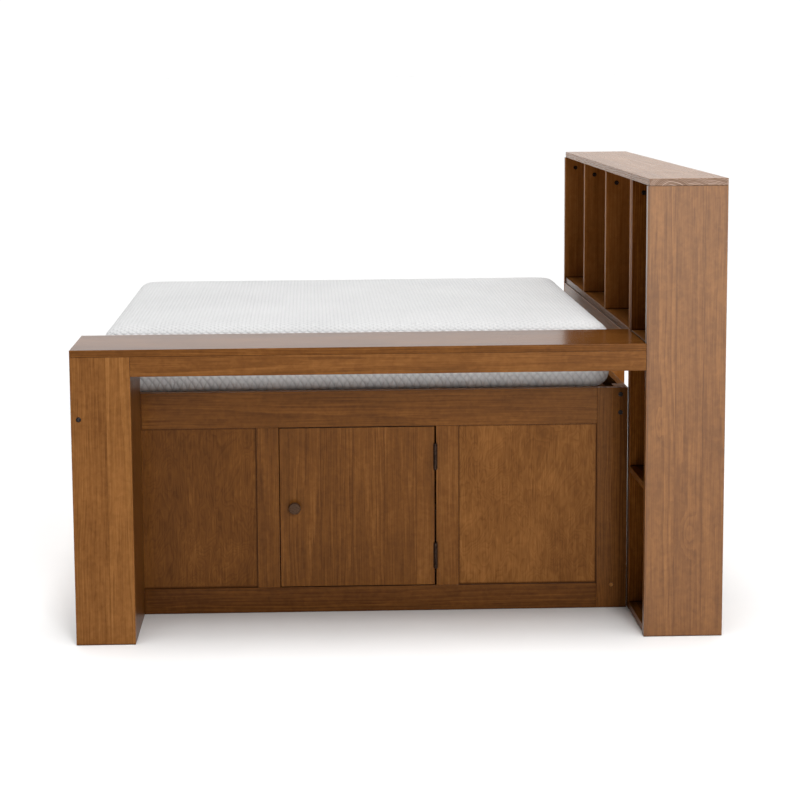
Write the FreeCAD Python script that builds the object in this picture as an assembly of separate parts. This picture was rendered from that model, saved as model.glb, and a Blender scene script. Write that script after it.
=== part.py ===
import FreeCAD, Part
import math
import os

# Storage bed for a full-size mattress: a panelled base with a closet door in its near side,
# a ledge on a box leg along that side, and a bookcase headboard whose tower stands beside
# the ledge's end. Lengths are in millimetres. While the pieces are laid out, X runs from the
# foot's outer face, Y from the ledge's front edge and Z from the floor.

Vector = FreeCAD.Vector
ALONG_X, ALONG_Y, UP = Vector(1, 0, 0), Vector(0, 1, 0), Vector(0, 0, 1)

# ---- Driving dimensions: boards and joinery
board = 25.0               # solid boards of the carcass
back_sheet = 8.0           # sheets that close the bookcase's back
core = 9.0                 # thin panels, and the tenons in line with their grooves
groove_depth = 9.0         # how far a panel's edge reaches into its frame
panel_play = 1.0           # room left for a panel in its groove
tenon_length = 30.0
tenon_shoulder = 12.0      # set-in at each edge of a tenon
mortise_play = 1.0         # room past a tenon's end

# ---- Mattress
mattress_length = 1920.0
mattress_width = 1372.0
mattress_thickness = 257.0
mattress_corner = 60.0     # corner radius in plan
mattress_least_corner = 20.0  # corner radius that is left on the top and the bottom
mattress_edge = 55.0       # rounding of the top and bottom edges
mattress_crown = 5.0       # rise of the top from its edge to its middle
crown_shares = (0.12, 0.3, 0.6)  # shares of the half width at which the crown is shaped
mattress_draw = 6.0        # how far the sides draw in above and below their middle
soft_gap = 0.3             # clearance under the mattress

# ---- Base
foot_clearance = 28.5      # mattress to the foot board
head_clearance = 16.5      # mattress to the head board
side_clearance = 20.0      # mattress to the side boards
base_height = 839.0
mattress_sink = 20.0       # depth of the slats' top below the base's top edge
top_rail = 135.0
bottom_rail = 96.0
end_stile = 114.0
mid_stile = 83.0
foot_panel_width = 521.0   # side panel between the foot stile and the next stile
door_opening = 584.0
post = 48.0                # square corner posts inside the base
ledger_width, ledger_height = 30.0, 45.0
slat_width, slat_thickness, slat_count = 90.0, 20.0, 13
slat_end_gap = 6.0         # slat end to side board
slat_foot_gap = 36.0       # first and last slat to the foot and head boards
beam_width, beam_height = 50.0, 90.0

# ---- Ledge and its box leg
ledge_depth = 308.0
ledge_height = 1058.0
apron_height = 71.0
leg_width = 210.0

# ---- Bookcase headboard
case_depth = 280.0         # end panel, front to back
case_setback = 5.0         # top and shelves behind the end panel's front edge
overall_height = 1635.0
tower_shelf_top = 548.0
tower_floor_gap = 4.0
bay_count = 3

# ---- Closet door
door_play = 3.0            # gap above and below the door
latch_play = 2.5           # gap on the knob's side
hinge_height = 95.0
hinge_from_end = 65.0      # door's end to the nearer hinge end
leaf_thickness = 2.8
leaf_depth = 20.0          # leaf's reach along the door's edge
leaf_play = 0.9            # between the closed leaves
knuckle_radius = 6.0
knuckle_stand = 0.5        # barrel in front of the door's face
knuckle_play = 0.4         # between neighbouring knuckles
knuckle_clearance = 0.3    # barrel to the other leaf
pin_radius = 2.5
pin_clearance = 0.05
pin_cap_radius, pin_cap_height = 4.6, 3.2
pin_cap_rounding = 0.6     # rounded share of a pin cap's height
hinge_screw_inset = 14.0   # leaf's end to its outer screws
knob_radius = 22.5
knob_length = 32.0
knob_foot_radius, knob_foot_height = 12.6, 2.7
knob_waist_radius, knob_waist_end = 8.1, 13.0
knob_waist_hollow = 1.0    # waist's least radius past its end's
knob_head_hollow = 2.2     # hollow on the back of the head
knob_rim_start = 21.5      # where the head's rim begins
knob_rim_swell = 0.7       # rim's middle past its back edge
knob_face_radius = 20.0
knob_crown = 1.2           # rise of the face from its edge to its middle
knob_from_edge = 54.0
knob_height = 404.0
catch_from_edge = 70.0
catch_length = 46.0
catch_depth = 14.0
catch_reach = 17.0         # how far the catch hangs behind the door's top
catch_rise = 27.0          # height of the catch's body on the top rail
catch_gap = 0.4
strike_thickness = 1.2

# ---- Fasteners
bolt_radius = 4.0
bolt_length = 55.0
bolt_head_radius = 8.6
bolt_head_height = 3.0
bolt_head_rounding = 0.85  # rounded share of a bolt head's height
bolt_sink_radius = 9.4
bolt_from_end = 27.0
bolt_from_top = 26.0
bolt_spacing = 68.0
plug_radius = 8.6
plug_hole_radius = 9.3
plug_depth = 7.5
plug_height = 88.0
cam_radius = 9.0
cam_depth = 18.5
cam_from_front = 41.0
cam_from_top = 46.0
cam_slot_length, cam_slot_width, cam_slot_depth = 11.0, 2.4, 1.6
dowel_radius = 3.5
dowel_reach = 12.0         # dowel's length inside the top board
screw_radius = 1.75
screw_length = 22.0
screw_head_radius = 3.5
screw_head_depth = 1.9
knob_screw_radius = 2.0
knob_screw_reach = 15.0    # knob screw's length inside the knob
knob_screw_head_radius, knob_screw_head_height = 4.2, 2.6

# ---- Derived places
base_length = mattress_length + foot_clearance + head_clearance + 2 * board
base_width = mattress_width + 2 * side_clearance + 2 * board
near_face = ledge_depth                      # outer face of the base's near side
far_face = near_face + base_width
near_inner, far_inner = near_face + board, far_face - board
base_middle = (near_face + far_face) / 2
slat_top = base_height - mattress_sink
slat_bottom = slat_top - slat_thickness
opening_bottom, opening_top = bottom_rail, base_height - top_rail
ledge_bottom = ledge_height - board
overall_length = base_length + case_depth
overall_depth = far_face
case_front = base_length + case_setback
shelf_back = overall_length - back_sheet
top_underside = overall_height - board
side_edges = [0.0, end_stile, end_stile + foot_panel_width]
side_edges += [side_edges[2] + mid_stile, side_edges[2] + mid_stile + door_opening]
side_edges += [side_edges[4] + mid_stile, base_length - end_stile, base_length]
origin = Vector(overall_length / 2, overall_depth / 2, 0)


# ---- Shapes that many pieces share
def block(x0, x1, y0, y1, z0, z1):
    return Part.makeBox(x1 - x0, y1 - y0, z1 - z0, Vector(x0, y0, z0))


def slab(along, u0, u1, v0, v1, z0, z1):
    """Box whose length u runs along the x or y axis and whose thickness v runs across it."""
    if along == "x":
        return block(u0, u1, v0, v1, z0, z1)
    return block(v0, v1, u0, u1, z0, z1)


def joined(first, *others):
    return first.fuse(list(others)).removeSplitter()


def rail(along, u0, u1, v0, z0, z1, play=0.0):
    """Horizontal frame member with a tenon at each end; play lengthens it into a mortise cutter."""
    body = slab(along, u0, u1, v0, v0 + board, z0, z1)
    near, far = v0 + (board - core) / 2, v0 + (board + core) / 2
    reach = tenon_length + play
    tenon = slab(along, u0 - reach, u1 + reach, near, far, z0 + tenon_shoulder, z1 - tenon_shoulder)
    return joined(body, tenon)


def stile(along, u0, u1, v0, z0, z1, play=0.0):
    """Upright frame member with a tenon at its top and bottom."""
    body = slab(along, u0, u1, v0, v0 + board, z0, z1)
    near, far = v0 + (board - core) / 2, v0 + (board + core) / 2
    reach = tenon_length + play
    tenon = slab(along, u0 + tenon_shoulder, u1 - tenon_shoulder, near, far, z0 - reach, z1 + reach)
    return joined(body, tenon)


def thin_panel(along, u0, u1, v0, z0, z1, reach):
    """Thin sheet in the middle of a board's thickness that reaches past its opening."""
    near, far = v0 + (board - core) / 2, v0 + (board + core) / 2
    return slab(along, u0 - reach, u1 + reach, near, far, z0 - reach, z1 + reach)


def round_rectangle(length, width, radius, centre, z):
    """Closed wire of four lines and four quarter arcs about a centre point."""
    half_x, half_y = length / 2, width / 2
    corners = [(1, 1, 0), (-1, 1, 90), (-1, -1, 180), (1, -1, 270)]
    arcs = []
    for side_x, side_y, start in corners:
        middle = centre + Vector(side_x * (half_x - radius), side_y * (half_y - radius), z)
        arcs.append(Part.makeCircle(radius, middle, UP, start, start + 90))
    edges = []
    for arc, following in zip(arcs, arcs[1:] + arcs[:1]):
        edges.append(arc)
        edges.append(Part.makeLine(arc.Vertexes[-1].Point, following.Vertexes[0].Point))
    return Part.Wire(edges)


def countersunk_screw(seat, direction):
    """Screw whose flat head lies flush at the seat."""
    head = Part.makeCone(screw_head_radius, screw_radius, screw_head_depth, seat, direction)
    return joined(head, Part.makeCylinder(screw_radius, screw_length, seat, direction))


# ---- Base: side frames, posts and end frames
def side_frame(v0, has_door):
    """Rails, stiles and panels of one long side, whose outer or inner face stands at v0."""
    rails = {
        "top_rail": (side_edges[1], side_edges[6], v0, opening_top, base_height),
        "bottom_rail": (side_edges[1], side_edges[6], v0, 0.0, bottom_rail),
    }
    stiles = {
        "latch_stile": (side_edges[2], side_edges[3], v0, opening_bottom, opening_top),
        "hinge_stile": (side_edges[4], side_edges[5], v0, opening_bottom, opening_top),
    }
    panels = {
        "foot_panel": (side_edges[1], side_edges[2], v0, opening_bottom, opening_top),
        "head_panel": (side_edges[5], side_edges[6], v0, opening_bottom, opening_top),
    }
    if not has_door:
        panels["middle_panel"] = (side_edges[3], side_edges[4], v0, opening_bottom, opening_top)
    pieces = {}
    grooves = [thin_panel("x", *place, groove_depth) for place in panels.values()]
    for name, place in rails.items():
        mortises = [stile("x", *other, mortise_play) for other in stiles.values()]
        pieces[name] = rail("x", *place).cut(mortises + grooves)
    for name, place in stiles.items():
        pieces[name] = stile("x", *place).cut(grooves)
    for name, u0, u1 in (("foot_stile", 0.0, end_stile), ("head_stile", side_edges[6], base_length)):
        mortises = [rail("x", *other, mortise_play) for other in rails.values()]
        pieces[name] = block(u0, u1, v0, v0 + board, 0.0, base_height).cut(mortises + grooves)
    for name, place in panels.items():
        pieces[name] = thin_panel("x", *place, groove_depth - panel_play)
    return pieces


def end_frame(v0):
    """Rails, middle stile and two panels between the posts of the foot or head end."""
    start, stop = near_inner + post, far_inner - post
    rails = {
        "top_rail": (start, stop, v0, opening_top, base_height),
        "bottom_rail": (start, stop, v0, 0.0, bottom_rail),
    }
    middle = (base_middle - mid_stile / 2, base_middle + mid_stile / 2, v0, opening_bottom, opening_top)
    openings = [
        (start, middle[0], v0, opening_bottom, opening_top),
        (middle[1], stop, v0, opening_bottom, opening_top),
    ]
    grooves = [thin_panel("y", *place, groove_depth) for place in openings]
    pieces = {}
    for name, place in rails.items():
        pieces[name] = [rail("y", *place).cut([stile("y", *middle, mortise_play)] + grooves)]
    pieces["stile"] = [stile("y", *middle).cut(grooves)]
    pieces["panel"] = [thin_panel("y", *place, groove_depth - panel_play) for place in openings]
    cutters = [rail("y", *place, mortise_play) for place in rails.values()] + grooves
    return pieces, cutters


def corner_posts(cutters):
    """Four posts behind the side frames' end stiles, mortised for the end frames."""
    posts = []
    for x0 in (0.0, base_length - post):
        for y0 in (near_inner, far_inner - post):
            whole = block(x0, x0 + post, y0, y0 + post, 0.0, base_height)
            posts.append(whole.cut(cutters))
    return posts


def slat_platform():
    """Ledgers on the side frames, a beam on a post down the middle, and the slats over them."""
    pieces = {}
    ledger_bottom = slat_bottom - ledger_height
    ledgers = []
    for y0 in (near_inner, far_inner - ledger_width):
        ledgers.append(block(post, base_length - post, y0, y0 + ledger_width,
                             ledger_bottom, slat_bottom))
    pieces["slat_ledgers"] = Part.makeCompound(ledgers)
    beam_y = base_middle - beam_width / 2
    beam_z = slat_bottom - beam_height
    pieces["centre_beam"] = block(board, base_length - board, beam_y, beam_y + beam_width,
                                  beam_z, slat_bottom)
    post_x = (base_length - beam_width) / 2
    pieces["centre_post"] = block(post_x, post_x + beam_width, beam_y, beam_y + beam_width, 0.0, beam_z)
    first = board + slat_foot_gap
    pitch = (base_length - 2 * first - slat_width) / (slat_count - 1)
    slats = []
    for index in range(slat_count):
        x0 = first + index * pitch
        y0, y1 = near_inner + slat_end_gap, far_inner - slat_end_gap
        slats.append(block(x0, x0 + slat_width, y0, y1, slat_bottom, slat_top))
    pieces["slats"] = Part.makeCompound(slats)
    return pieces


def mattress():
    """Soft block with round corners, rolled edges, sides that bow outwards and a crowned top."""
    bottom = slat_top + soft_gap
    top = bottom + mattress_thickness
    middle = Vector(board + foot_clearance + mattress_length / 2, base_middle, 0)
    shoulder = top - mattress_crown
    span = shoulder - bottom
    levels = []
    for degrees in (0, 30, 60, 90):
        turn = math.radians(degrees)
        levels.append((mattress_edge * (1 - math.sin(turn)), mattress_edge * (1 - math.cos(turn))))
    outline = [(inset, bottom + rise) for inset, rise in levels]
    outline.append((0.0, bottom + span / 2))
    outline += [(inset, shoulder - rise) for inset, rise in reversed(levels)]
    sections = []
    for inset, z in outline:
        away = abs(2 * (z - bottom) / span - 1)
        total = inset + mattress_draw * away ** 2
        sections.append((total, z))
    reach = mattress_width / 2
    for share in crown_shares:
        rise = mattress_crown * math.sin(math.pi / 2 * share / crown_shares[-1])
        sections.append((mattress_edge + mattress_draw + share * reach, shoulder + rise))
    wires = []
    for inset, z in sections:
        length, width = mattress_length - 2 * inset, mattress_width - 2 * inset
        radius = max(mattress_corner - inset, mattress_least_corner)
        wires.append(round_rectangle(length, width, radius, middle, z))
    return Part.makeLoft(wires, True, True)


# ---- Ledge and leg
def ledge():
    pieces = {}
    pieces["ledge_top"] = block(0, base_length, 0, ledge_depth, ledge_bottom, ledge_height)
    apron_bottom = ledge_bottom - apron_height
    pieces["ledge_apron"] = block(leg_width, base_length, 0, board, apron_bottom, ledge_bottom)
    rear = ledge_depth - board
    pieces["ledge_rear_rail"] = block(leg_width, base_length, rear, ledge_depth,
                                      apron_bottom, ledge_bottom)
    cleat_x = base_length - board
    pieces["ledge_end_cleat"] = block(cleat_x, base_length, board, rear, apron_bottom, ledge_bottom)
    pieces["leg_front"] = block(0, leg_width, 0, board, 0, ledge_bottom)
    pieces["leg_inner_side"] = block(leg_width - board, leg_width, board, ledge_depth,
                                     0, ledge_bottom)
    pieces["leg_outer_side"] = block(0, board, board + post, ledge_depth, 0, ledge_bottom)
    pieces["leg_post"] = block(0, post, board, board + post, 0, ledge_bottom)
    return pieces


# ---- Bookcase headboard
def bookcase():
    """Tower beside the ledge's end and the bridge of bays behind the mattress."""
    pieces = {}
    inner = ledge_depth - board
    bridge_start, bridge_stop = near_face + board, far_face - board
    rail_bottom = ledge_bottom - apron_height

    def upright(x0, y0, z0, z1, x1=overall_length):
        return block(x0, x1, y0, y0 + board, z0, z1)

    pieces["tower_outer_panel"] = upright(base_length, 0, 0, top_underside)
    pieces["tower_inner_panel"] = upright(case_front, inner, 0, top_underside)
    pieces["tower_top"] = block(case_front, overall_length, 0, ledge_depth,
                                top_underside, overall_height)
    for name, z0 in (("tower_bottom", tower_floor_gap), ("tower_shelf", tower_shelf_top - board),
                     ("tower_ledge_board", ledge_bottom)):
        pieces[name] = block(case_front, shelf_back, board, inner, z0, z0 + board)
    pieces["tower_cross_rail"] = block(base_length, case_front + board, board, inner,
                                       rail_bottom, ledge_bottom)
    pieces["tower_back"] = block(shelf_back, overall_length, board, inner,
                                 tower_floor_gap, top_underside)
    pieces["bridge_near_panel"] = upright(case_front, near_face, 0, top_underside)
    pieces["bridge_far_panel"] = upright(base_length, bridge_stop, 0, top_underside)
    pieces["bridge_top"] = block(case_front, overall_length, near_face, far_face,
                                 top_underside, overall_height)
    pieces["bridge_shelf"] = block(case_front, shelf_back, bridge_start, bridge_stop,
                                   ledge_bottom, ledge_height)
    pieces["bridge_fascia"] = block(base_length, base_length + board, bridge_start, bridge_stop,
                                    rail_bottom, ledge_bottom)
    pieces["bridge_rear_rail"] = block(shelf_back - board, shelf_back, bridge_start, bridge_stop,
                                       rail_bottom, ledge_bottom)
    pieces["bridge_back"] = block(shelf_back, overall_length, bridge_start, bridge_stop,
                                  rail_bottom, top_underside)
    dividers = bay_count - 1
    bay = (bridge_stop - bridge_start - dividers * board) / bay_count
    for index in range(dividers):
        y0 = bridge_start + bay + index * (bay + board)
        name = "bay_divider_%d" % (index + 1)
        pieces[name] = upright(case_front, y0, ledge_height, top_underside, shelf_back)
    return pieces


# ---- Closet door, its hinges, knob and catch
door_left = side_edges[3] + latch_play
door_right = side_edges[4] - 2 * leaf_thickness - leaf_play
door_bottom, door_top = opening_bottom + door_play, opening_top - door_play
hinge_x = (door_right + side_edges[4]) / 2
hinge_y = near_face - knuckle_stand - knuckle_radius
hinge_bottoms = (door_bottom + hinge_from_end, door_top - hinge_from_end - hinge_height)
hinge_screw_y = near_face + leaf_depth / 2
hinge_screw_rises = (hinge_screw_inset, hinge_height / 2, hinge_height - hinge_screw_inset)
hinge_screw_heights = [z + rise for z in hinge_bottoms for rise in hinge_screw_rises]
knob_x = door_left + knob_from_edge


def hinge_leaf(x0, x1, bottom, knuckles):
    """Leaf on a board's edge with its share of the three knuckles, counted from the bottom."""
    plate_front = hinge_y + knuckle_radius + knuckle_clearance
    leaf = block(x0, x1, plate_front, near_face + leaf_depth, bottom, bottom + hinge_height)
    third = hinge_height / 3
    for index in knuckles:
        z0 = bottom + index * third + knuckle_play / 2
        height = third - knuckle_play
        barrel = Part.makeCylinder(knuckle_radius, height, Vector(hinge_x, hinge_y, z0), UP)
        web = block(x0, x1, hinge_y, plate_front, z0, z0 + height)
        leaf = joined(leaf, barrel, web)
    bore = pin_radius + pin_clearance
    return leaf.cut(Part.makeCylinder(bore, hinge_height, Vector(hinge_x, hinge_y, bottom), UP))


def hinge_screws():
    """Screws of the frame leaves and of the door leaves."""
    frame_seat, door_seat = side_edges[4] - leaf_thickness, door_right + leaf_thickness
    frame_screws, door_screws = [], []
    for z in hinge_screw_heights:
        frame_screws.append(countersunk_screw(Vector(frame_seat, hinge_screw_y, z), ALONG_X))
        door_screws.append(countersunk_screw(Vector(door_seat, hinge_screw_y, z), -ALONG_X))
    return frame_screws, door_screws


def hinges(frame_screws, door_screws):
    """Both hinges: frame leaves, door leaves, pins and the screws of each side."""
    frame_leaves, door_leaves, pins = [], [], []
    for bottom in hinge_bottoms:
        frame_leaf = hinge_leaf(side_edges[4] - leaf_thickness, side_edges[4], bottom, (0, 2))
        frame_leaves.append(frame_leaf.cut(frame_screws))
        door_leaf = hinge_leaf(door_right, door_right + leaf_thickness, bottom, (1,))
        door_leaves.append(door_leaf.cut(door_screws))
        pin = Part.makeCylinder(pin_radius, hinge_height, Vector(hinge_x, hinge_y, bottom), UP)
        cap = Part.makeCylinder(pin_cap_radius, pin_cap_height, Vector(hinge_x, hinge_y, 0), UP)
        top_cap = cap.makeFillet(pin_cap_height * pin_cap_rounding, [cap.Edges[0]])
        bottom_cap = cap.makeFillet(pin_cap_height * pin_cap_rounding, [cap.Edges[2]])
        top_cap.translate(UP * (bottom + hinge_height))
        bottom_cap.translate(UP * (bottom - pin_cap_height))
        pins.append(joined(pin, top_cap, bottom_cap))
    return {
        "hinge_frame_leaves": Part.makeCompound(frame_leaves),
        "hinge_door_leaves": Part.makeCompound(door_leaves),
        "hinge_pins": Part.makeCompound(pins),
        "hinge_frame_screws": Part.makeCompound(frame_screws),
        "hinge_door_screws": Part.makeCompound(door_screws),
    }


def knob():
    """Turned knob: a foot, a waist and a broad head with a nearly flat face, turned about Y."""
    face_edge = knob_length - knob_crown
    rim_back = knob_radius - knob_rim_swell
    waist_middle = (knob_waist_radius + knob_waist_hollow, (knob_foot_height + knob_waist_end) / 2)
    head_middle = ((knob_waist_radius + rim_back) / 2,
                   (knob_waist_end + knob_rim_start) / 2 + knob_head_hollow)
    rim_middle = (knob_radius, (knob_rim_start + face_edge) / 2)
    crown_radius = (knob_face_radius ** 2 + knob_crown ** 2) / (2 * knob_crown)
    half_turn = math.asin(knob_face_radius / crown_radius) / 2
    crown_middle = (crown_radius * math.sin(half_turn),
                    knob_length - crown_radius * (1 - math.cos(half_turn)))

    def at(radius, out):
        return Vector(radius, -out, 0)

    def arc(*points):
        return Part.Arc(*[at(*point) for point in points]).toShape()

    profile = [
        Part.makeLine(at(0, 0), at(knob_foot_radius, 0)),
        Part.makeLine(at(knob_foot_radius, 0), at(knob_foot_radius, knob_foot_height)),
        arc((knob_foot_radius, knob_foot_height), waist_middle, (knob_waist_radius, knob_waist_end)),
        arc((knob_waist_radius, knob_waist_end), head_middle, (rim_back, knob_rim_start)),
        arc((rim_back, knob_rim_start), rim_middle, (knob_face_radius, face_edge)),
        arc((knob_face_radius, face_edge), crown_middle, (0, knob_length)),
        Part.makeLine(at(0, knob_length), at(0, 0)),
    ]
    turned = Part.Face(Part.Wire(profile)).revolve(Vector(0, 0, 0), ALONG_Y, 360)
    turned.translate(Vector(knob_x, near_face, knob_height))
    return turned


def closet_door(hinge_holes):
    """Flat door with its knob, the knob's screw and the strike plate of the catch."""
    back = near_face + board
    screw_length_total = board + knob_screw_reach
    screw_start = Vector(knob_x, back, knob_height)
    shank = Part.makeCylinder(knob_screw_radius, screw_length_total, screw_start, -ALONG_Y)
    head = Part.makeCylinder(knob_screw_head_radius, knob_screw_head_height, screw_start, ALONG_Y)
    slab_door = block(door_left, door_right, near_face, back, door_bottom, door_top)
    strike_x = door_left + catch_from_edge
    strike = block(strike_x, strike_x + catch_length, back, back + strike_thickness,
                   door_top - catch_reach, door_top)
    return {
        "closet_door": slab_door.cut([shank] + hinge_holes),
        "door_knob": knob().cut(shank),
        "knob_screw": joined(shank, head),
        "catch_strike": strike,
    }


def magnetic_catch():
    """Catch on the back of the top rail whose nose hangs behind the door's strike plate."""
    x0 = door_left + catch_from_edge
    back = near_face + board
    nose_front = back + strike_thickness + catch_gap
    housing = block(x0, x0 + catch_length, back, back + catch_depth,
                    opening_top, opening_top + catch_rise)
    nose = block(x0, x0 + catch_length, nose_front, back + catch_depth,
                 door_top - catch_reach, opening_top)
    return joined(housing, nose)


# ---- Fasteners
def bolt_places():
    """Head centre and inward direction of each bolt of the base and of the leg."""
    places = [(Vector(bolt_from_end, 0, base_height - bolt_from_top), ALONG_Y)]
    for x in (bolt_from_end, base_length - bolt_from_end):
        for drop in (bolt_from_top, bolt_from_top + bolt_spacing):
            places.append((Vector(x, near_face, base_height - drop), ALONG_Y))
            places.append((Vector(x, far_face, base_height - drop), -ALONG_Y))
    return places


def bolt(centre, inward):
    """Domed head sunk flush with the board, on a plain shank."""
    seat = centre + inward * bolt_head_height
    head = Part.makeCylinder(bolt_head_radius, bolt_head_height, seat, -inward)
    rim = [edge for edge in head.Edges if abs((edge.CenterOfMass - centre).dot(inward)) < 0.01]
    domed = head.makeFillet(bolt_head_height * bolt_head_rounding, rim)
    return joined(domed, Part.makeCylinder(bolt_radius, bolt_length, seat, inward))


def bolt_hole(centre, inward):
    sink = Part.makeCylinder(bolt_sink_radius, bolt_head_height, centre, inward)
    bore = Part.makeCylinder(bolt_radius, bolt_length + bolt_head_height, centre, inward)
    return joined(sink, bore)


def plug_places():
    places = []
    for x in (end_stile / 2, base_length - end_stile / 2):
        places.append((Vector(x, near_face, plug_height), ALONG_Y))
        places.append((Vector(x, far_face, plug_height), -ALONG_Y))
    return places


def cam_places(case):
    """Face point and inward direction of each cam, two to an upright under the top boards."""
    facing_far = ("tower_outer_panel", "bridge_near_panel")
    facing_near = ["tower_inner_panel", "bridge_far_panel"]
    facing_near += [name for name in case if name.startswith("bay_divider")]
    places = []
    for name in list(facing_far) + facing_near:
        box = case[name].BoundBox
        face_y, inward = (box.YMax, -ALONG_Y) if name in facing_far else (box.YMin, ALONG_Y)
        for x in (case_front + cam_from_front, shelf_back - cam_from_front):
            places.append((name, Vector(x, face_y, top_underside - cam_from_top), inward))
    return places


def cam_bore(face_point, inward):
    """Round bore for a cam, turned so that its seam stays clear of the dowel's bore."""
    bore = Part.makeCylinder(cam_radius, cam_depth, face_point, inward)
    bore.rotate(face_point, inward, 45)
    return bore


def cam_lock(face_point, inward):
    """Round cam flush with its upright's face, with a driver slot."""
    slot = Part.makeBox(cam_slot_length, 2 * cam_slot_depth, cam_slot_width)
    slot.translate(face_point - Vector(cam_slot_length / 2, cam_slot_depth, cam_slot_width / 2))
    return cam_bore(face_point, inward).cut(slot)


def cam_dowel(face_point, inward):
    """Dowel from the cam's middle up through the upright's edge into the top board."""
    start = face_point + inward * (board / 2)
    return Part.makeCylinder(dowel_radius, cam_from_top + dowel_reach, start, UP)


def build():
    pieces = {}
    for name, shape in side_frame(near_face, True).items():
        pieces["near_" + name] = shape
    far_side = side_frame(far_inner, False)
    post_cutters = []
    ends = {"top_rail": [], "bottom_rail": [], "stile": [], "panel": []}
    for v0 in (0.0, base_length - board):
        frame, cutters = end_frame(v0)
        post_cutters += cutters
        for name, shapes in frame.items():
            ends[name] += shapes
    for name, shapes in ends.items():
        pieces["end_%ss" % name] = Part.makeCompound(shapes)
    posts = corner_posts(post_cutters)
    pieces.update(slat_platform())
    pieces["mattress"] = mattress()
    pieces.update(ledge())
    case = bookcase()
    pieces.update(case)
    frame_screws, door_screws = hinge_screws()
    pieces.update(closet_door(door_screws))
    pieces.update(hinges(frame_screws, door_screws))
    pieces["near_hinge_stile"] = pieces["near_hinge_stile"].cut(frame_screws)
    pieces["magnetic_catch"] = magnetic_catch()

    holes = [bolt_hole(*place) for place in bolt_places()]
    plug_holes = [Part.makeCylinder(plug_hole_radius, plug_depth, *place) for place in plug_places()]
    for name in ("foot_stile", "head_stile"):
        pieces["near_" + name] = pieces["near_" + name].cut(holes + plug_holes)
        far_side[name] = far_side[name].cut(holes + plug_holes)
    for name in ("leg_front", "leg_post"):
        pieces[name] = pieces[name].cut(holes)
    pieces["corner_posts"] = Part.makeCompound([one.cut(holes) for one in posts])
    pieces["frame_bolts"] = Part.makeCompound([bolt(*place) for place in bolt_places()])
    plugs = [Part.makeCylinder(plug_radius, plug_depth, *place) for place in plug_places()]
    pieces["joint_plugs"] = Part.makeCompound(plugs)
    for kind in ("rail", "stile", "panel"):
        group = [shape for name, shape in far_side.items() if name.endswith(kind)]
        pieces["far_%ss" % kind] = Part.makeCompound(group)

    cams, dowels = [], []
    for name, face_point, inward in cam_places(case):
        bore = cam_bore(face_point, inward)
        full_dowel = cam_dowel(face_point, inward)
        cams.append(cam_lock(face_point, inward))
        dowels.append(full_dowel.cut(bore))
        pieces[name] = pieces[name].cut(joined(bore, full_dowel))
    pieces["cam_locks"] = Part.makeCompound(cams)
    pieces["cam_dowels"] = Part.makeCompound(dowels)
    for name in ("tower_top", "bridge_top"):
        pieces[name] = pieces[name].cut(dowels)

    return pieces


os.makedirs("parts", exist_ok=True)
for node, shape in build().items():
    shape.translate(-origin)
    shape.exportStep("parts/%s.step" % node)
    volume = shape.Volume / 1000
    print("%-22s %2d solids  %8.1f cm3  valid %s" % (node, len(shape.Solids), volume, shape.isValid()))
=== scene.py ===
import math

import bmesh
import bpy
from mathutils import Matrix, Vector


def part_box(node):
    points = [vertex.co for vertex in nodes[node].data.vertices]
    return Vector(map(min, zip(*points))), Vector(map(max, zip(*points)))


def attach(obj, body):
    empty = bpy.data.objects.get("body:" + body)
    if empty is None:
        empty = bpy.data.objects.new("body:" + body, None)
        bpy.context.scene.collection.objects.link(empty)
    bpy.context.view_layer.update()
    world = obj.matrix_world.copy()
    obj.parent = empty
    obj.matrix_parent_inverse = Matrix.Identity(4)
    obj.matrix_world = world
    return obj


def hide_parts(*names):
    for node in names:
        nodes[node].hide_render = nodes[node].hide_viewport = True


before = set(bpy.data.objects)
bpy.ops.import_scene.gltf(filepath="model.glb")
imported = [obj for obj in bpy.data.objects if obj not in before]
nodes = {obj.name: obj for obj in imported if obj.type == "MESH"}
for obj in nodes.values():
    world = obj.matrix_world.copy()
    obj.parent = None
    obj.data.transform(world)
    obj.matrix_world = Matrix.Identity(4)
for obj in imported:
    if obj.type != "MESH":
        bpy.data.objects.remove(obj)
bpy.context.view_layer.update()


# ---- Rails and stiles of the base's near side ----
# Solid pine boards, stained brown, lacquered to a satin gloss and tenoned into each other. The grain
# runs the long way of every board, and the edges are eased by about a millimetre.
def add(tree, kind, links=(), **settings):
    node = tree.nodes.new(kind)
    for name, value in settings.items():
        setattr(node, name, value)
    for socket, source in dict(links).items():
        if isinstance(source, bpy.types.NodeSocket):
            tree.links.new(source, node.inputs[socket])
        else:
            node.inputs[socket].default_value = source
    return node


def calc(tree, operation, *terms):
    return add(tree, "ShaderNodeMath", enumerate(terms), operation=operation).outputs[0]


def either_way(tree, share, width):
    return calc(tree, "MULTIPLY_ADD", share, width, -width / 2)


def stacked(tree, level, layers):
    for layer, share in layers:
        level = calc(tree, "MULTIPLY_ADD", layer, share, level)
    return level


def split(tree, vector):
    return add(tree, "ShaderNodeSeparateXYZ", {0: vector}).outputs


def joined(tree, x, y, z=0.0):
    return add(tree, "ShaderNodeCombineXYZ", {0: x, 1: y, 2: z}).outputs[0]


def length(tree, vector):
    return add(tree, "ShaderNodeVectorMath", {0: vector}, operation="LENGTH").outputs["Value"]


def ranged(tree, value, start, stop, low, high, kind="LINEAR"):
    links = {"Value": value, "From Min": start, "From Max": stop, "To Min": low, "To Max": high}
    return add(tree, "ShaderNodeMapRange", links, interpolation_type=kind).outputs[0]


def shades(tree, amount, stops):
    ramp = add(tree, "ShaderNodeValToRGB", {"Fac": amount})
    band = ramp.color_ramp
    while len(band.elements) < len(stops):
        band.elements.new(1.0)
    for element, (place, colour) in zip(band.elements, stops):
        element.position = place
        element.color = (*colour, 1.0)
    return ramp.outputs["Color"]


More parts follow.
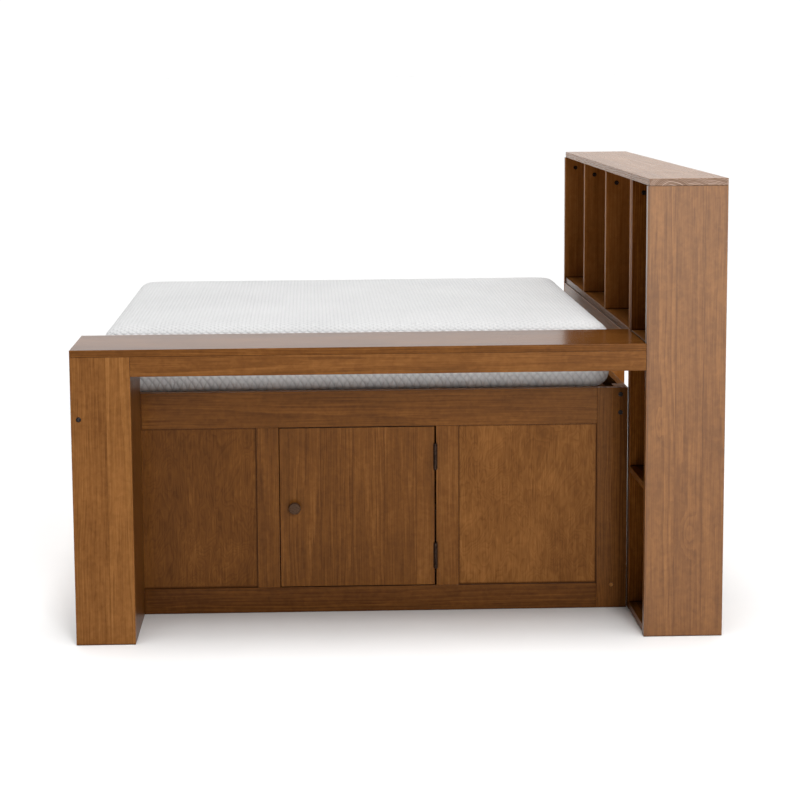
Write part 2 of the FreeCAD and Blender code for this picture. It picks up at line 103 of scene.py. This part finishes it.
def grey(level):
    return (level,) * 3


def noise(tree, vector, scale, detail=2.0, distortion=0.0):
    links = {"Vector": vector, "Scale": scale, "Detail": detail, "Distortion": distortion}
    return add(tree, "ShaderNodeTexNoise", links).outputs["Fac"]


def tossed(tree, number):
    return add(tree, "ShaderNodeTexWhiteNoise", {"W": number}, noise_dimensions="1D").outputs


# Ambient occlusion, lower in seams, grooves and inside corners. The wood colours are darkened by it as
# painted shade.
def painted_seam_shade(tree, distance):
    return add(tree, "ShaderNodeAmbientOcclusion", {"Distance": distance}, samples=6).outputs["AO"]


def bare_material(name):
    material = bpy.data.materials.new(name)
    material.use_nodes = True
    tree = material.node_tree
    return material, tree, tree.nodes["Principled BSDF"]


def lacquer(shader, coat, haze=0.1, shine=1.25):
    shader.inputs["IOR"].default_value = shine
    shader.inputs["Specular Tint"].default_value = (1.0, 0.72, 0.46, 1.0)
    shader.inputs["Coat Weight"].default_value = coat
    shader.inputs["Coat Roughness"].default_value = haze
    shader.inputs["Coat IOR"].default_value = 1.4


def surface(tree, shader, colour, roughness, height, strength, depth):
    tree.links.new(colour, shader.inputs["Base Color"])
    tree.links.new(roughness, shader.inputs["Roughness"])
    relief = add(tree, "ShaderNodeBump", {"Height": height, "Strength": strength, "Distance": depth})
    tree.links.new(relief.outputs[0], shader.inputs["Normal"])


brown_stain = [(0.0, (0.060, 0.018, 0.003)), (0.3, (0.136, 0.048, 0.009)), (0.5, (0.222, 0.088, 0.021)),
               (0.7, (0.300, 0.130, 0.037)), (1.0, (0.440, 0.225, 0.085))]
# End wood colours, pale and grey: partly the end wood's own colour and partly a painted sheen.
end_wood_and_sheen = [(0.0, (0.085, 0.042, 0.025)), (0.5, (0.235, 0.150, 0.110)), (1.0, (0.380, 0.275, 0.220))]


def stained_pine(name, along, across, stave=0.4, shift=0.0, face=0.6, ring=0.0085, tone=0.0,
                 rings=0.15, satin=0.42, relief=0.22, coat=0.08, haze=0.1, shine=1.25, joint=0.16,
                 eyes=(), stain=brown_stain):
    # along is the axis that the grain follows, and across the one on which the staves lie side by side.
    # stave, shift and ring are widths in metres, and face is a place near the pith on the third axis.
    # tone, rings, relief and joint say how light the stain and how strong rings, pores and glue lines are;
    # on boards that stand in shade, a lower tone also holds painted shade.
    material, tree, shader = bare_material(name)
    lacquer(shader, coat, haze, shine)
    texture = add(tree, "ShaderNodeTexCoord")
    axes = dict(zip("xyz", split(tree, texture.outputs["Object"])))
    deep = ({"x", "y", "z"} - {along, across}).pop()

    # A board is glued up from staves side by side, each sawn from another place in the trunk.
    furthest_start = 7.0
    lane = calc(tree, "DIVIDE", calc(tree, "ADD", axes[across], shift), stave)
    from_middle = calc(tree, "SUBTRACT", calc(tree, "FRACT", lane), 0.5)
    toss = add(tree, "ShaderNodeSeparateColor",
               {0: tossed(tree, calc(tree, "FLOOR", lane))["Color"]}).outputs
    run = calc(tree, "MULTIPLY_ADD", toss[0], furthest_start, axes[along])

    def drawn_out(share):
        return joined(tree, axes[across], axes[deep], calc(tree, "MULTIPLY", run, share))

    # The rings lie round a pith that sways from side to side, in a trunk that tapers.
    sway_width = 0.07
    pith_spread = 0.22
    pith_depth = 0.07
    taper = 0.008
    sway = either_way(tree, noise(tree, drawn_out(0.22), scale=6.0, detail=3.0), sway_width)
    side = calc(tree, "MULTIPLY", from_middle, stave)
    side = calc(tree, "ADD", side, either_way(tree, toss[1], pith_spread))
    side = calc(tree, "ADD", side, sway)
    depth = calc(tree, "SUBTRACT", axes[deep], face)
    depth = calc(tree, "ADD", depth, calc(tree, "MULTIPLY_ADD", toss[2], pith_depth, pith_depth / 2))
    radius = calc(tree, "MULTIPLY_ADD", run, taper, length(tree, joined(tree, side, depth)))

    # A knot under the face lifts some rings into an eye with an uneven outline. An eye is given by its
    # centre across and along the board, half its width and height, and the number of rings it lifts.
    unevenness = 6.0
    for centre, half_width, half_height, lifted_rings in eyes:
        over = calc(tree, "DIVIDE", calc(tree, "SUBTRACT", axes[across], centre[0]), half_width)
        up = calc(tree, "DIVIDE", calc(tree, "SUBTRACT", axes[along], centre[1]), half_height)
        reach = length(tree, joined(tree, over, up))
        reach = calc(tree, "ADD", reach, calc(tree, "MULTIPLY", sway, unevenness))
        lift = ranged(tree, reach, 1.0, 0.0, 0.0, lifted_rings * ring, "SMOOTHSTEP")
        radius = calc(tree, "ADD", radius, lift)

    # Each ring goes from pale early wood to a dark line of late wood, and some years are paler.
    wavering = 0.8
    mean_early = 0.42
    streak = noise(tree, drawn_out(0.03), scale=85.0, detail=4.0)
    year = calc(tree, "MULTIPLY_ADD", streak, wavering, calc(tree, "DIVIDE", radius, ring))
    early = shades(tree, calc(tree, "FRACT", year),
                   [(0.0, grey(0.75)), (0.12, grey(1.0)), (0.6, grey(0.62)), (0.86, grey(0.0))])
    strength = tossed(tree, calc(tree, "FLOOR", year))["Value"]
    early = calc(tree, "MULTIPLY", early, calc(tree, "MULTIPLY_ADD", strength, 0.6, 0.4))

    # Fibres, clouds of stain and dark glue lines make up the rest of the colour. Painted shade darkens
    # it in the seams and inside corners, where boards meet.
    glue_line = 0.0022
    seam_shade_reach = 0.006
    seam_shade_share = 2.0
    fibre = noise(tree, drawn_out(0.02), scale=330.0, detail=3.0)
    cloud = noise(tree, drawn_out(0.4), scale=9.0, detail=3.0, distortion=0.3)
    ripple = noise(tree, drawn_out(0.8), scale=55.0, detail=2.0, distortion=0.6)
    glued = ranged(tree, calc(tree, "ABSOLUTE", from_middle), 0.5 - glue_line / stave, 0.5, 0.0, 1.0)
    layers = ((streak, 0.20), (fibre, 0.42), (cloud, 0.30), (ripple, 0.24), (toss[1], 0.14))
    light = 0.5 + tone - mean_early * rings - 0.5 * sum(share for _, share in layers) - seam_shade_share
    light = stacked(tree, light, ((early, rings), *layers, (painted_seam_shade(tree, seam_shade_reach), seam_shade_share),
                                  (glued, -joint)))

    # Faces across the grain show the rings as arcs in end wood that is paler and greyer than the long grain,
    # partly its own colour and partly a painted sheen.
    squarely = 0.8
    arc_contrast = 1.3
    facing = dict(zip("xyz", split(tree, texture.outputs["Normal"])))
    cut = calc(tree, "GREATER_THAN", calc(tree, "ABSOLUTE", facing[along]), squarely)
    end_light = calc(tree, "MULTIPLY_ADD", light, 0.45, -0.38)
    arcs = calc(tree, "MULTIPLY_ADD", early, arc_contrast, end_light)
    colour = add(tree, "ShaderNodeMix", {"Factor": cut, 6: shades(tree, light, stain),
                                         7: shades(tree, arcs, end_wood_and_sheen)}, data_type="RGBA")
    fibre_gloss = -0.16
    roughness = calc(tree, "MULTIPLY_ADD", fibre, fibre_gloss, satin)
    pores = calc(tree, "MULTIPLY_ADD", early, 0.5, fibre)
    surface(tree, shader, colour.outputs[2], roughness, pores, strength=relief, depth=0.0005)
    return material


def dress(material, *names):
    for name in names:
        mesh = nodes[name].data
        mesh.materials.clear()
        mesh.materials.append(material)
        mesh.polygons.foreach_set("material_index", [0] * len(mesh.polygons))


def outer_edges(piece):
    touching = 0.00005
    spots = [vertex.co for vertex in piece.data.vertices]
    low = [min(spot[axis] for spot in spots) for axis in range(3)]
    high = [max(spot[axis] for spot in spots) for axis in range(3)]
    group = piece.vertex_groups.new(name="outer edges")
    for number, spot in enumerate(spots):
        sides = [min(at - a, b - at) < touching for at, a, b in zip(spot, low, high)]
        if sum(sides) > 1:
            group.add([number], 1.0, "ADD")
    return group.name


def eased(width, *names, bored=False):
    for name in names:
        piece = nodes[name]
        piece.data.polygons.foreach_set("use_smooth", [True] * len(piece.data.polygons))
        weld = piece.modifiers.new("one skin", "WELD")
        weld.merge_threshold = 0.00002
        flat = piece.modifiers.new("flat faces", "DECIMATE")
        flat.decimate_type = "DISSOLVE"
        flat.angle_limit = math.radians(0.6)
        rounding = piece.modifiers.new("eased arris", "BEVEL")
        rounding.width = width
        rounding.segments = 2
        rounding.limit_method = "ANGLE"
        rounding.angle_limit = math.radians(50)
        if bored:
            rounding.limit_method = "VGROUP"
            rounding.vertex_group = outer_edges(piece)
        rounding.loop_slide = False
        shading = piece.modifiers.new("flat shading of the faces", "WEIGHTED_NORMAL")
        shading.weight = 100
        shading.keep_sharp = False


arris = 0.0012
# The tones run darker than the leg's: partly the boards' own stain and partly painted shade for the recess
# under the ledge. The head stile is darkest, with painted shade from the tower beside it too.
for rail in ("near_top_rail", "near_bottom_rail"):
    dress(stained_pine("pine_" + rail, "x", "z", stave=0.23, shift=0.05, face=-0.64, tone=-0.33), rail)
dress(stained_pine("pine_near_latch_stile", "z", "x", stave=0.19, shift=0.03, face=-0.66, tone=-0.27),
      "near_latch_stile", "near_foot_stile")
dress(stained_pine("pine_near_hinge_stile", "z", "x", stave=0.19, shift=0.06, face=-0.66, tone=-0.18),
      "near_hinge_stile")
dress(stained_pine("pine_near_head_stile", "z", "x", stave=0.19, shift=0.11, face=-0.5, tone=-0.37),
      "near_head_stile")
eased(arris, "near_top_rail", "near_bottom_rail", "near_latch_stile")
eased(arris, "near_hinge_stile", "near_foot_stile", "near_head_stile", bored=True)


# ---- Thin panels of the base ----
# Plywood sheets let into grooves. Their face veneer was peeled off a turning log, so the figure
# swirls like the lines of a map, and it takes the brown stain in soft clouds.
def stained_veneer(name, across, shift=0.0, tone=0.0):
    material, tree, shader = bare_material(name)
    lacquer(shader, 0.04)
    axes = dict(zip("xyz", split(tree, add(tree, "ShaderNodeTexCoord").outputs["Object"])))

    def drawn_out(place, share):
        return joined(tree, place, 0.0, calc(tree, "MULTIPLY", axes["z"], share))

    sheet = drawn_out(calc(tree, "ADD", axes[across], shift), 0.42)
    hair = drawn_out(axes[across], 0.03)
    map_lines = 30.0
    hill = noise(tree, sheet, scale=6.5, detail=3.0, distortion=0.5)
    line = shades(tree, calc(tree, "FRACT", calc(tree, "MULTIPLY", hill, map_lines)),
                  [(0.0, grey(0.7)), (0.15, grey(1.0)), (0.6, grey(0.6)), (0.88, grey(0.0))])
    cloud = noise(tree, sheet, scale=6.0, detail=3.0, distortion=0.3)
    patch = noise(tree, sheet, scale=38.0, detail=3.0, distortion=0.8)
    fibre = noise(tree, hair, scale=330.0, detail=3.0)
    # Painted shade darkens the veneer in the seams and corners round the sheet.
    seam_shade_reach = 0.008
    seam_shade_share = 1.2
    layers = ((line, 0.08), (cloud, 0.40), (patch, 0.30), (fibre, 0.50))
    light = 0.5 + tone - 0.5 * sum(share for _, share in layers) - seam_shade_share
    light = stacked(tree, light, (*layers, (painted_seam_shade(tree, seam_shade_reach), seam_shade_share)))
    colour = shades(tree, light, brown_stain)
    roughness = calc(tree, "MULTIPLY_ADD", patch, -0.14, 0.42)
    surface(tree, shader, colour, roughness, fibre, strength=0.15, depth=0.0004)
    return material


# The near panels are toned darker, partly their own stain and partly painted shade in the recess under the
# ledge, the foot panel most, beside the leg.
dress(stained_veneer("veneer_near_foot_panel", "x", shift=0.3, tone=-0.30), "near_foot_panel")
dress(stained_veneer("veneer_near_head_panel", "x", shift=1.7, tone=-0.14), "near_head_panel")
dress(stained_veneer("veneer_far_panels", "x", shift=4.1), "far_panels")
dress(stained_veneer("veneer_end_panels", "y", shift=2.4), "end_panels")


# ---- Far side and end frames ----
# Built like the near side, with the same boards, and screwed to square posts in the corners.
dress(stained_pine("pine_far_rails", "x", "z", stave=0.31, face=0.86), "far_rails")
dress(stained_pine("pine_far_stiles", "z", "x", stave=0.21, face=0.87), "far_stiles")
dress(stained_pine("pine_end_rails", "y", "z", stave=0.27, face=-1.13), "end_top_rails", "end_bottom_rails")
dress(stained_pine("pine_end_stiles", "z", "y", stave=0.2, face=-1.13), "end_stiles")
eased(arris, "far_rails", "far_stiles", "end_top_rails", "end_bottom_rails", "end_stiles")


# ---- Posts, ledgers, centre beam and slats ----
# Plainer pine inside the base, which carries the mattress and is seen only through the gaps.
dress(stained_pine("pine_posts", "z", "x", stave=0.11, face=0.3, tone=-0.05),
      "corner_posts", "centre_post")
dress(stained_pine("pine_ledgers", "x", "z", stave=0.13, face=0.3, tone=-0.05),
      "slat_ledgers", "centre_beam")
dress(stained_pine("pine_slats", "y", "x", stave=0.145, face=0.79, tone=0.04), "slats")
eased(arris, "corner_posts", "centre_post", "slat_ledgers", "centre_beam", "slats")


# ---- Ledge and its box leg ----
# A wide shelf edge-glued from staves and rubbed smoother than the rest, with an apron under its
# front. At the foot it rests on a hollow leg, with boards butted round a post in one corner.
dress(stained_pine("pine_ledge_top", "x", "y", stave=0.081, shift=0.02, face=0.98, tone=-0.20,
                   satin=0.28, relief=0.02, shine=1.2),
      "ledge_top")
dress(stained_pine("pine_apron", "x", "z", stave=0.33, shift=0.12, face=-0.9, tone=-0.19), "ledge_apron")
dress(stained_pine("pine_ledge_rail", "x", "z", stave=0.3, face=-0.5), "ledge_rear_rail", "ledge_end_cleat")
dress(stained_pine("pine_leg_front", "z", "x", stave=0.124, shift=1.148, face=-0.91, ring=0.007,
                   rings=0.12, tone=-0.05),
      "leg_front")
# The sides are toned darker than the front: painted shade for the inner side, which faces the recess under
# the ledge. The outer side and the post share its material.
dress(stained_pine("pine_leg_sides", "z", "y", stave=0.155, shift=0.9, face=-0.9, tone=-0.28),
      "leg_inner_side", "leg_outer_side", "leg_post")
eased(arris, "ledge_apron", "ledge_rear_rail", "ledge_end_cleat", "leg_post")
eased(arris, "ledge_top", "leg_front", "leg_inner_side", "leg_outer_side", bored=True)


# ---- Bookcase: the tower beside the ledge ----
# Edge-glued boards on cam locks. The outer panel has a hazier, thicker lacquer and a burl low on its
# face, round which the grain swirls. The inner panel, like those of the bridge, is toned darker and
# stained redder: painted shade for boards lit only by light bounced off the wood round them.
outer_stave = 0.098
burl = ((1.0245, 0.374), 0.045, 0.110, 2.6)
small_swirl = ((0.915, 0.775), 0.020, 0.080, 1.5)
dress(stained_pine("pine_tower_outer", "z", "x", stave=outer_stave, shift=outer_stave - 0.873, face=-0.9,
                   tone=-0.10, satin=0.38, coat=1.0, haze=0.42, eyes=(burl, small_swirl)),
      "tower_outer_panel")
# Painted shade: the stain shifted redder and less blue, the colour of wood lit only by light bounced off
# wood.
painted_bounce_shade_stain = [(place, (red * 1.05, green * 0.90, blue * 0.7)) for place, (red, green, blue) in brown_stain]
dress(stained_pine("pine_tower_inner", "z", "x", stave=0.098, shift=0.3, face=-0.6, tone=-0.14,
                   satin=0.5, coat=0.0, shine=1.12, stain=painted_bounce_shade_stain),
      "tower_inner_panel")
dress(stained_pine("pine_case_tops", "y", "x", stave=0.068, shift=-0.87, face=1.6, ring=0.0052, tone=0.12,
                   satin=0.36, relief=0.08),
      "tower_top", "bridge_top")
# The shelves and boards inside the tower and the bays are toned darker, partly their own stain and partly
# painted shade for the dark bays.
dress(stained_pine("pine_case_shelves", "y", "x", stave=0.09, face=0.9, tone=-0.2),
      "tower_bottom", "tower_shelf", "tower_ledge_board", "tower_cross_rail", "bridge_shelf")
dress(stained_veneer("veneer_tower_back", "y", shift=0.9), "tower_back")
eased(0.0016, "tower_outer_panel", "tower_top", bored=True)
eased(arris, "tower_inner_panel", "tower_bottom", "tower_shelf", "tower_ledge_board", "tower_cross_rail",
      bored=True)


# ---- Bookcase: the bridge over the head of the bed ----
# Two upright panels and two dividers make three open bays, closed behind by a thin sheet.
# A fascia stands a little proud under the shelf's front edge.
# The panels and dividers take the redder stain too, painted shade for the insides of the bays.
dress(stained_pine("pine_bridge_panels", "z", "x", stave=0.094, shift=0.2, face=-0.6, tone=0.15,
                   satin=0.5, coat=0.02, shine=1.14, stain=painted_bounce_shade_stain),
      "bridge_near_panel", "bridge_far_panel", "bay_divider_1", "bay_divider_2")
dress(stained_pine("pine_fascia", "y", "z", stave=0.34, face=0.8, tone=-0.02),
      "bridge_fascia", "bridge_rear_rail")
dress(stained_veneer("veneer_bridge_back", "y", shift=3.3), "bridge_back")
eased(arris, "bridge_fascia", "bridge_rear_rail")
eased(arris, "bridge_near_panel", "bridge_far_panel", "bay_divider_1", "bay_divider_2", "bridge_top",
      "bridge_shelf", bored=True)


# ---- Closet door ----
# One flat board glued up from upright staves, hung in the near side. Its turned knob is a
# darker wood, and a screw holds it from inside.
# Its tone is darker, partly its own stain and partly painted shade in the recess under the ledge.
dress(stained_pine("pine_door", "z", "x", stave=0.118, shift=0.275, face=-0.59, tone=-0.24, joint=0.2),
      "closet_door")
eased(arris, "closet_door", bored=True)


def turned_wood(name):
    material, tree, shader = bare_material(name)
    lacquer(shader, 0.2)
    place = add(tree, "ShaderNodeTexCoord").outputs["Object"]
    lengthwise = (1.0, 0.12, 1.0)
    drawn = add(tree, "ShaderNodeVectorMath", {0: place, 1: lengthwise}, operation="MULTIPLY").outputs[0]
    fibre = noise(tree, drawn, scale=700.0, detail=3.0)
    ring = noise(tree, drawn, scale=260.0, detail=2.0, distortion=0.6)
    light = calc(tree, "MULTIPLY_ADD", fibre, 0.5, calc(tree, "MULTIPLY", ring, 0.5))
    colour = shades(tree, light, [(0.4, (0.020, 0.009, 0.005)), (0.6, (0.085, 0.042, 0.022))])
    roughness = calc(tree, "MULTIPLY_ADD", fibre, 0.2, 0.35)
    surface(tree, shader, colour, roughness, fibre, strength=0.3, depth=0.0003)
    return material


dress(turned_wood("knob_dark_wood"), "door_knob")


# ---- Hinges, bolts and cam locks ----
# Each hinge has two dark bronzed leaves, in the door's edge and the stile, rolled round one pin.
# The finish has worn bright in patches. Bolts and cam locks are blacked, small hidden steel is zinc.
def worn_metal(name, base, bright, rough):
    material, tree, shader = bare_material(name)
    shader.inputs["Metallic"].default_value = 1.0
    place = add(tree, "ShaderNodeTexCoord").outputs["Object"]
    worn = noise(tree, place, scale=240.0, detail=4.0, distortion=0.5)
    speck = noise(tree, place, scale=1500.0, detail=2.0)
    colour = shades(tree, worn, [(0.42, base), (0.68, bright)])
    roughness = calc(tree, "MULTIPLY_ADD", speck, 0.25, rough)
    surface(tree, shader, colour, roughness, speck, strength=0.2, depth=0.0001)
    return material


dress(worn_metal("dark_bronze", base=(0.020, 0.012, 0.009), bright=(0.070, 0.045, 0.034), rough=0.30),
      "hinge_frame_leaves", "hinge_door_leaves", "hinge_pins", "hinge_frame_screws", "hinge_door_screws")
dress(worn_metal("blacked_bolt_steel", base=(0.018, 0.015, 0.015), bright=(0.06, 0.052, 0.05), rough=0.2),
      "frame_bolts", "cam_locks")
dress(worn_metal("zinc_steel", base=(0.46, 0.46, 0.45), bright=(0.62, 0.62, 0.60), rough=0.24),
      "cam_dowels", "knob_screw", "catch_strike")


# ---- Plugs and magnetic catch ----
# Turned wood plugs close the bores of the lower joints. The catch behind the top rail is a moulded
# black housing, and holds the strike plate on the door.
dress(stained_pine("pine_plugs", "z", "x", stave=0.05, face=0.1, ring=0.003, tone=-0.02), "joint_plugs")
eased(0.002, "joint_plugs")


def moulded_plastic(name):
    material, tree, shader = bare_material(name)
    place = add(tree, "ShaderNodeTexCoord").outputs["Object"]
    pebble = noise(tree, place, scale=1800.0, detail=3.0)
    shade = noise(tree, place, scale=60.0, detail=2.0)
    colour = shades(tree, shade, [(0.3, (0.018, 0.017, 0.016)), (0.7, (0.032, 0.03, 0.028))])
    roughness = calc(tree, "MULTIPLY_ADD", pebble, 0.2, 0.42)
    surface(tree, shader, colour, roughness, pebble, strength=0.25, depth=0.0001)
    return material


dress(moulded_plastic("black_catch_plastic"), "magnetic_catch")


# ---- Mattress ----
# A foam block in a white knitted cover. The knit is a lattice of small raised diamonds, and the
# foam fills it out, so the sides swell a little between the soft edges.
def filled_out(piece, most):
    last_moment = 20
    piece.data.update()
    before = [vertex.co.copy() for vertex in piece.data.vertices]
    cover = piece.modifiers.new("knitted cover", "CLOTH")
    cover.settings.quality = 4
    cover.settings.mass = 0.3
    cover.settings.tension_stiffness = 40
    cover.settings.compression_stiffness = 40
    cover.settings.shear_stiffness = 20
    cover.settings.bending_stiffness = 4
    cover.settings.use_pressure = True
    cover.settings.uniform_pressure_force = 4.0
    cover.settings.effector_weights.gravity = 0.0
    cover.collision_settings.use_collision = False
    cover.point_cache.frame_start = 1
    cover.point_cache.frame_end = last_moment
    scene = bpy.context.scene
    for moment in range(1, last_moment + 1):
        scene.frame_set(moment)
    filled = piece.evaluated_get(bpy.context.evaluated_depsgraph_get())
    after = [vertex.co.copy() for vertex in filled.data.vertices]
    piece.modifiers.remove(cover)
    for vertex, old, new in zip(piece.data.vertices, before, after):
        move = new - old
        if move.length > most:
            move = move * (most / move.length)
        vertex.co = old + move
    scene.frame_set(1)


cover_thickness = 0.001
mesh_pitch = 0.014
most_swell = 0.006
above_slats = 0.0005
mattress = bpy.data.objects.new("mattress_cover", nodes["mattress"].data.copy())
bpy.context.scene.collection.objects.link(mattress)
low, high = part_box("mattress")
middle = (low + high) / 2
half = (high - low) / 2
for vertex in mattress.data.vertices:
    from_middle = vertex.co - middle
    vertex.co = middle + Vector([a * (1 - cover_thickness / h) for a, h in zip(from_middle, half)])
coarse = mattress.modifiers.new("even skin", "REMESH")
coarse.mode = "VOXEL"
coarse.voxel_size = mesh_pitch
bpy.context.view_layer.update()
skin = bpy.data.meshes.new_from_object(mattress.evaluated_get(bpy.context.evaluated_depsgraph_get()))
mattress.modifiers.clear()
mattress.data = skin
filled_out(mattress, most_swell)
for vertex in mattress.data.vertices:
    vertex.co.z = max(vertex.co.z, low.z + above_slats)
mattress.data.polygons.foreach_set("use_smooth", [True] * len(mattress.data.polygons))
smooth = mattress.modifiers.new("soft skin", "CORRECTIVE_SMOOTH")
smooth.iterations = 6
smooth.smooth_type = "LENGTH_WEIGHTED"
smooth.use_only_smooth = True
fine = mattress.modifiers.new("fine skin", "SUBSURF")
fine.levels = 1
fine.render_levels = 1


def white_knit(name):
    material, tree, shader = bare_material(name)
    shader.inputs["Sheen Weight"].default_value = 0.25
    shader.inputs["Sheen Roughness"].default_value = 0.5
    shader.inputs["Specular IOR Level"].default_value = 0.25
    texture = add(tree, "ShaderNodeTexCoord")
    place = texture.outputs["Object"]
    x, y, z = split(tree, place)
    facing, _, up = split(tree, texture.outputs["Normal"])

    # Two sets of slanting furrows cross in diamonds, and a third set of ribs joins them on top.
    diamond_size = 0.029
    squarely = 0.7
    rib_strength = 0.45
    pitch = math.pi / diamond_size
    at_end = calc(tree, "GREATER_THAN", calc(tree, "ABSOLUTE", facing), squarely)
    on_top = calc(tree, "GREATER_THAN", up, squarely)
    rising = calc(tree, "ADD", calc(tree, "ADD", x, y), z)
    falling = calc(tree, "SUBTRACT", calc(tree, "SUBTRACT", x, y), z)
    falling_end = calc(tree, "SUBTRACT", calc(tree, "SUBTRACT", y, z), x)
    falling = add(tree, "ShaderNodeMix", {0: at_end, 2: falling, 3: falling_end}).outputs[0]

    def furrows(way, tightness):
        return calc(tree, "ABSOLUTE", calc(tree, "SINE", calc(tree, "MULTIPLY", way, tightness)))

    diamond = calc(tree, "MULTIPLY", calc(tree, "POWER", furrows(rising, pitch), 0.7),
                   calc(tree, "POWER", furrows(falling, pitch), 0.4))
    rib = furrows(x, 2 * pitch)
    rib_share = calc(tree, "MULTIPLY", on_top, rib_strength)
    diamond = add(tree, "ShaderNodeMix", {0: rib_share, 2: diamond, 3: rib}).outputs[0]

    loop = noise(tree, place, scale=420.0, detail=2.0)
    cloud = noise(tree, place, scale=3.0, detail=2.0)
    # The knit is greyer in its furrows and whiter on the raised diamonds: painted shade in the creases,
    # alongside the bump.
    light = calc(tree, "MULTIPLY_ADD", diamond, 0.5, calc(tree, "MULTIPLY", cloud, 0.5))
    colour = shades(tree, light, [(0.0, (0.42, 0.42, 0.435)), (0.4, (0.64, 0.64, 0.643)), (1.0, grey(0.76))])
    roughness = calc(tree, "MULTIPLY_ADD", loop, 0.15, 0.8)
    height = calc(tree, "MULTIPLY_ADD", loop, 0.25, diamond)
    surface(tree, shader, colour, roughness, height, strength=1.0, depth=0.0036)
    return material


mattress.data.materials.clear()
mattress.data.materials.append(white_knit("white_knit"))
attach(mattress, "bed")
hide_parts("mattress")
dress(mattress.data.materials[0], "mattress")


# ---- Studio floor ----
# A plain pale floor, wide enough that its far edge can't be told from the white behind it. It lies
# less than half a millimetre under the feet of the bed.
def studio_floor(half_width, gap):
    form = bmesh.new()
    bmesh.ops.create_grid(form, x_segments=8, y_segments=8, size=half_width)
    mesh = bpy.data.meshes.new("studio_floor")
    form.to_mesh(mesh)
    form.free()
    floor = bpy.data.objects.new("studio_floor", mesh)
    floor.location.z = -gap
    bpy.context.scene.collection.objects.link(floor)
    material, tree, shader = bare_material("pale_floor")
    mottle = noise(tree, add(tree, "ShaderNodeTexCoord").outputs["Object"], scale=2.5, detail=3.0)
    colour = shades(tree, mottle, [(0.3, (0.915, 0.914, 0.912)), (0.7, (0.935, 0.934, 0.932))])
    tree.links.new(colour, shader.inputs["Base Color"])
    tree.links.new(calc(tree, "MULTIPLY_ADD", mottle, 0.1, 0.6), shader.inputs["Roughness"])
    shader.inputs["Specular IOR Level"].default_value = 0.15
    mesh.materials.append(material)


studio_floor(half_width=400.0, gap=0.0004)


# ---- Lights and surround ----
# A broad glow from overhead, a square soft light in front on the right and a small one low down
# beside it. The surround is white to the camera, and lights the bed more from behind than in front.
def soft_light(name, place, aim, width, power):
    lamp = bpy.data.lights.new(name, "AREA")
    lamp.shape = "RECTANGLE"
    lamp.size = width
    lamp.size_y = width
    lamp.energy = power
    holder = bpy.data.objects.new(name, lamp)
    holder.location = place
    holder.rotation_euler = (Vector(aim) - Vector(place)).to_track_quat("-Z", "Y").to_euler()
    bpy.context.scene.collection.objects.link(holder)


def overhead_glow(strength, tilt, spread):
    lamp = bpy.data.lights.new("overhead_glow", "SUN")
    lamp.energy = strength
    lamp.angle = math.radians(spread)
    holder = bpy.data.objects.new("overhead_glow", lamp)
    holder.rotation_euler = (math.radians(tilt), 0.0, 0.0)
    bpy.context.scene.collection.objects.link(holder)


def white_surround(front, back, above):
    world = bpy.data.worlds.new("white_surround")
    bpy.context.scene.world = world
    world.use_nodes = True
    tree = world.node_tree
    sky = tree.nodes["Background"]
    _, backwards, upwards = split(tree, add(tree, "ShaderNodeTexCoord").outputs["Generated"])
    level = ranged(tree, backwards, 0.2, 0.75, front, back, "SMOOTHSTEP")
    fade = ranged(tree, upwards, 0.3, 0.8, 1.0, above, "SMOOTHSTEP")
    seen = add(tree, "ShaderNodeLightPath").outputs["Is Camera Ray"]
    tree.links.new(calc(tree, "MAXIMUM", calc(tree, "MULTIPLY", level, fade), seen), sky.inputs["Strength"])
    sky.inputs["Color"].default_value = (1.0, 1.0, 1.0, 1.0)


overhead_glow(strength=2.72, tilt=4.0, spread=32.0)
soft_light("front_light", place=(1.6, -7.5, 3.6), aim=(0.0, -0.9, 0.7), width=2.2, power=285.0)
soft_light("low_reflector", place=(2.7, -8.0, 0.9), aim=(0.9, -0.9, 1.0), width=1.3, power=60.0)
white_surround(front=0.16, back=1.08, above=0.5)
bpy.context.scene.view_settings.view_transform = "Standard"


# ---- Camera ----
# A long lens, higher than the headboard and nearly square to the near side. About half of its look
# downwards is a shift of the lens, which keeps upright lines nearly parallel, and the rest a tilt.
tilt_down = 0.09904
turn_right = 0.01709
roll = 0.00935
lens = bpy.data.cameras.new("camera")
lens.lens = 70.22
lens.sensor_width = 36.0
lens.shift_x = 0.08
lens.shift_y = -0.22
lens.clip_end = 1000.0
camera = bpy.data.objects.new("camera", lens)
camera.location = (-0.30654, -6.25208, 2.02336)
camera.rotation_euler = (math.pi / 2 - tilt_down, 0.0, -turn_right)
camera.rotation_euler.rotate_axis("Z", -roll)
bpy.context.scene.collection.objects.link(camera)
bpy.context.scene.camera = camera
